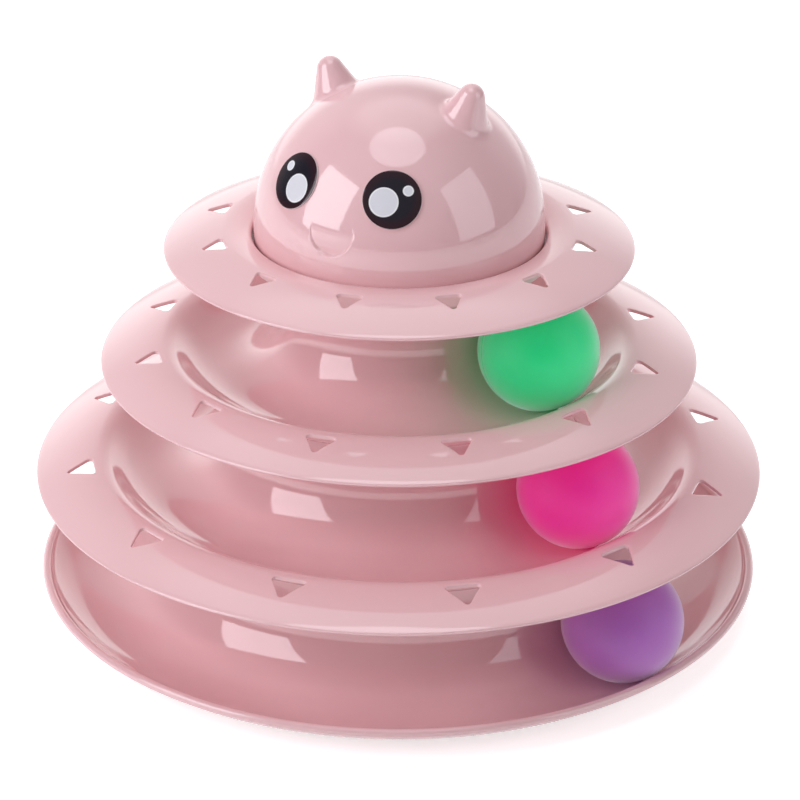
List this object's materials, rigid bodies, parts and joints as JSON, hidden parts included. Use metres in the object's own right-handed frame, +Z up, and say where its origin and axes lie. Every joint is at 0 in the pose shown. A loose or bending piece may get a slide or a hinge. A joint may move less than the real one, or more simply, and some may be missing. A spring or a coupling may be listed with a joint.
{
  "type": "cat ball track toy",
  "caption": "Tower of stacked round dished tracks, a loose ball running in each one, under a domed animal head with ears and printed eyes: a cat bats the balls round the hubs.",
  "frame": {"origin": "on the floor, under the middle of the stack", "axes": "+Z up along the stack's axis; -Y is the side that the picture looks at"},
  "size_m": [0.2472, 0.2472, 0.1872],
  "materials": {
    "pink_plastic": "glossy pale pink moulding",
    "eye_print": "smooth printed disc, near-black with pale spots",
    "green_plastic": "satin green",
    "magenta_plastic": "satin magenta",
    "purple_plastic": "satin purple",
    "foot_rubber": "soft pale non-slip pad"
  },
  "bodies": {
    "base": {"base_tray": "pink_plastic", "foot_1": "foot_rubber", "foot_2": "foot_rubber", "foot_3": "foot_rubber", "foot_4": "foot_rubber", "foot_5": "foot_rubber", "foot_6": "foot_rubber"},
    "lower": {"lower_tier": "pink_plastic"},
    "middle": {"middle_tier": "pink_plastic"},
    "crown": {"crown_tier": "pink_plastic"},
    "head": {"dome_head": "pink_plastic", "left_eye": "eye_print", "right_eye": "eye_print"},
    "purple": {"purple_ball": "purple_plastic"},
    "magenta": {"magenta_ball": "magenta_plastic"},
    "green": {"green_ball": "green_plastic"}
  },
  "joints": [
    {"name": "lower_tier_lift", "type": "slide", "parent": "base", "child": "lower", "axis": [0, 0, 1], "range_m": [0, 0.06]},
    {"name": "middle_tier_lift", "type": "slide", "parent": "lower", "child": "middle", "axis": [0, 0, 1], "range_m": [0, 0.06]},
    {"name": "crown_lift", "type": "slide", "parent": "middle", "child": "crown", "axis": [0, 0, 1], "range_m": [0, 0.06]},
    {"name": "head_lift", "type": "slide", "parent": "crown", "child": "head", "axis": [0, 0, 1], "range_m": [0, 0.06]},
    {"name": "purple_ball_run", "type": "hinge", "parent": "base", "child": "purple", "pos_m": [0, 0, 0], "axis": [0, 0, 1], "continuous": true},
    {"name": "magenta_ball_run", "type": "hinge", "parent": "lower", "child": "magenta", "pos_m": [0, 0, 0], "axis": [0, 0, 1], "continuous": true},
    {"name": "green_ball_run", "type": "hinge", "parent": "middle", "child": "green", "pos_m": [0, 0, 0], "axis": [0, 0, 1], "continuous": true}
  ]
}
